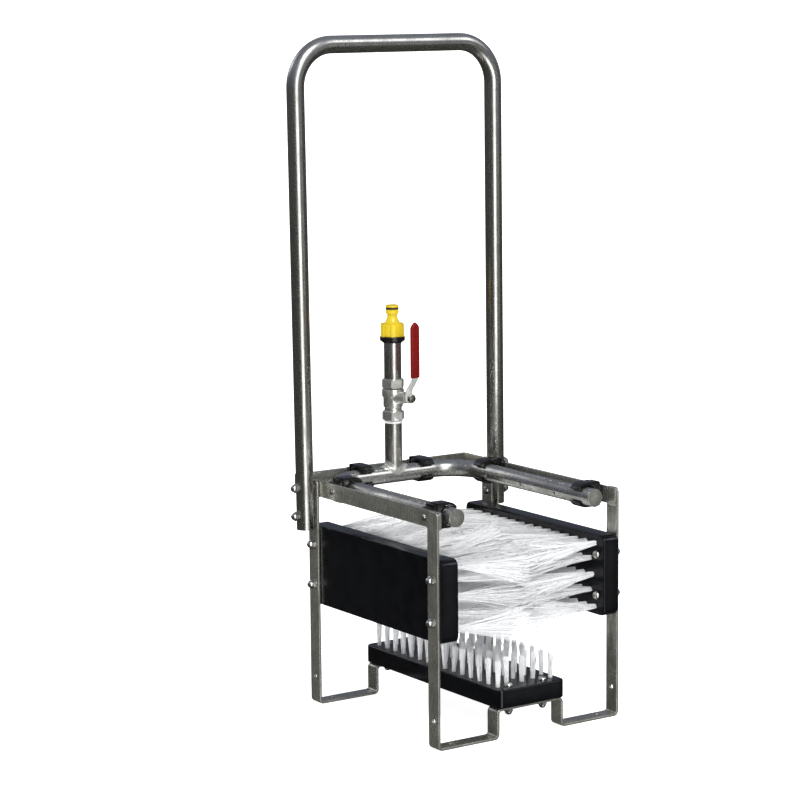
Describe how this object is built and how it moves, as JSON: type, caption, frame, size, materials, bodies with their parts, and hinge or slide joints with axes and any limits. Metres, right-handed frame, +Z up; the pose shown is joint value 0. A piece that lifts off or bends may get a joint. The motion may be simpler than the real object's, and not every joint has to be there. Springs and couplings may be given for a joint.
{
  "type": "boot cleaner",
  "caption": "Standing boot cleaner: bent flat-bar frame with side and sole brushes, a spray pipe fed through a lever ball valve, and a tall pipe hoop to hold on to.",
  "frame": {"origin": "on the floor, under the middle of the part's box", "axes": "+Z up; +Y from the open front, where the boot goes in, to the valve and hoop at the back; +X to the right of someone facing the back"},
  "size_m": [0.3208, 0.313, 0.801],
  "materials": {
    "steel": "zinc-plated steel, satin with dull and yellowish patches",
    "plated_brass": "nickel-plated brass, semi-bright",
    "bright_steel": "bright plated steel",
    "black_plastic": "moulded black plastic, satin",
    "black_nut_plastic": "moulded black plastic, satin",
    "bristle": "translucent white filament",
    "red_vinyl": "dipped vinyl, glossy",
    "yellow_plastic": "moulded plastic, satin gloss",
    "seal_plastic": "white sealing plastic",
    "rubber": "black rubber"
  },
  "bodies": {
    "frame": {"front_leg_frame": "steel", "rear_leg_frame": "steel", "left_rail": "steel", "right_rail": "steel", "back_rail": "steel", "handle_hoop": "steel", "spray_pipe": "steel", "left_pipe_cap": "steel", "right_pipe_cap": "steel", "inlet_riser": "steel", "outlet_pipe": "steel", "thread_tape": "seal_plastic", "left_front_clip": "black_plastic", "left_rear_clip": "black_plastic", "back_left_clip": "black_plastic", "right_front_clip": "black_plastic", "right_rear_clip": "black_plastic", "back_right_clip": "black_plastic", "left_front_clip_screw": "bright_steel", "left_rear_clip_screw": "bright_steel", "back_left_clip_screw": "bright_steel", "right_front_clip_screw": "bright_steel", "right_rear_clip_screw": "bright_steel", "back_right_clip_screw": "bright_steel", "left_brush_block": "black_plastic", "right_brush_block": "black_plastic", "sole_brush_block": "black_plastic", "left_bristles": "bristle", "right_bristles": "bristle", "sole_bristles": "bristle", "left_brush_front_lower_bolt": "bright_steel", "left_brush_front_upper_bolt": "bright_steel", "left_brush_rear_lower_bolt": "bright_steel", "left_brush_rear_upper_bolt": "bright_steel", "right_brush_front_lower_bolt": "bright_steel", "right_brush_front_upper_bolt": "bright_steel", "right_brush_rear_lower_bolt": "bright_steel", "right_brush_rear_upper_bolt": "bright_steel", "sole_brush_front_left_bolt": "bright_steel", "sole_brush_front_right_bolt": "bright_steel", "sole_brush_rear_left_bolt": "bright_steel", "sole_brush_rear_right_bolt": "bright_steel", "left_hoop_lower_bolt": "bright_steel", "left_hoop_upper_bolt": "bright_steel", "right_hoop_lower_bolt": "bright_steel", "right_hoop_upper_bolt": "bright_steel", "valve_body": "plated_brass", "valve_end": "plated_brass", "gland_nut": "plated_brass", "lower_ball_seat": "seal_plastic", "upper_ball_seat": "seal_plastic", "ring_nut": "black_nut_plastic", "hose_connector": "yellow_plastic", "sealing_washer": "rubber", "connector_o_ring": "rubber"},
    "lever": {"valve_lever": "bright_steel", "lever_sleeve": "red_vinyl", "lever_nut": "bright_steel", "valve_stem": "bright_steel", "valve_ball": "bright_steel"}
  },
  "joints": [
    {"name": "valve_turn", "type": "hinge", "parent": "frame", "child": "lever", "pos_m": [0, 0.12635, 0.3611], "axis": [0.309, -0.9511, 0], "range_deg": [-90, 0]}
  ]
}
